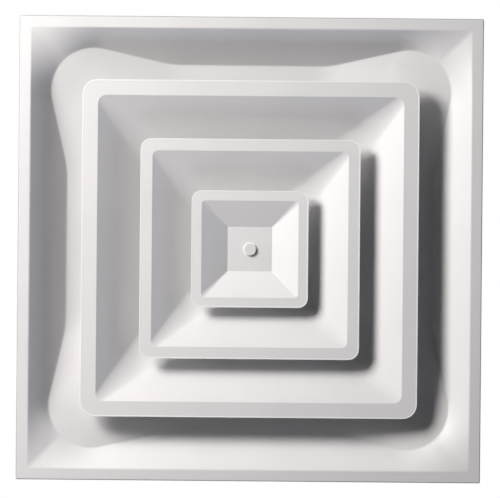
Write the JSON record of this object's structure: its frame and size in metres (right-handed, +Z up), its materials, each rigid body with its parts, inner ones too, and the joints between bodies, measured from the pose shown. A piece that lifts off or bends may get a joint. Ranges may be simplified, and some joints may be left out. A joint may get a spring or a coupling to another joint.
{
  "type": "ceiling air diffuser",
  "caption": "Square lay-in ceiling air diffuser: nested cones on a removable core, pressed back pan, round duct collar and a screwdriver-set shutter damper reached through a centre plug.",
  "frame": {"origin": "centre of the panel in the plane of its flat border, the room-side face", "axes": "+Z up towards the duct, so the face looks towards -Z; X and Y run along the panel's sides"},
  "size_m": [0.6032, 0.6032, 0.098],
  "materials": {
    "white_enamel": "satin baked enamel",
    "galvanised_sheet": "galvanised, spangled",
    "zinc_plate": "zinc plated",
    "spring_steel": "oiled spring steel",
    "rivet_alloy": "mill",
    "white_enamel_plug": "white, satin",
    "nylon_bush": "natural nylon"
  },
  "bodies": {
    "pan": {"back_pan": "white_enamel", "neck_collar": "galvanised_sheet", "collar_rivet_1": "rivet_alloy", "collar_rivet_2": "rivet_alloy", "collar_rivet_3": "rivet_alloy", "collar_rivet_4": "rivet_alloy", "collar_rivet_5": "rivet_alloy", "collar_rivet_6": "rivet_alloy", "damper_rivet_1": "rivet_alloy", "damper_rivet_2": "rivet_alloy", "damper_rivet_3": "rivet_alloy", "damper_rivet_4": "rivet_alloy", "damper_plate": "galvanised_sheet", "spindle_bush": "nylon_bush"},
    "core": {"cone_outer": "white_enamel", "cone_middle": "white_enamel", "cone_centre": "white_enamel", "core_bracket_1": "zinc_plate", "spring_leg_1": "spring_steel", "middle_rivet_1": "rivet_alloy", "outer_rivet_1": "rivet_alloy", "core_bracket_2": "zinc_plate", "spring_leg_2": "spring_steel", "middle_rivet_2": "rivet_alloy", "outer_rivet_2": "rivet_alloy", "core_bracket_3": "zinc_plate", "spring_leg_3": "spring_steel", "middle_rivet_3": "rivet_alloy", "outer_rivet_3": "rivet_alloy", "core_bracket_4": "zinc_plate", "spring_leg_4": "spring_steel", "middle_rivet_4": "rivet_alloy", "outer_rivet_4": "rivet_alloy"},
    "plug": {"plug_button": "white_enamel_plug"},
    "damper": {"damper_rotor": "galvanised_sheet", "damper_spindle": "zinc_plate", "spindle_washer": "spring_steel", "spindle_clip": "spring_steel"}
  },
  "joints": [
    {"name": "core_release", "type": "slide", "parent": "pan", "child": "core", "axis": [0, 0, -1], "range_m": [0, 0.08]},
    {"name": "plug_pull", "type": "slide", "parent": "core", "child": "plug", "axis": [0, 0, -1], "range_m": [0, 0.02]},
    {"name": "damper_turn", "type": "hinge", "parent": "pan", "child": "damper", "pos_m": [0, 0, 0.086], "axis": [0, 0, 1], "range_deg": [0, 30]}
  ]
}
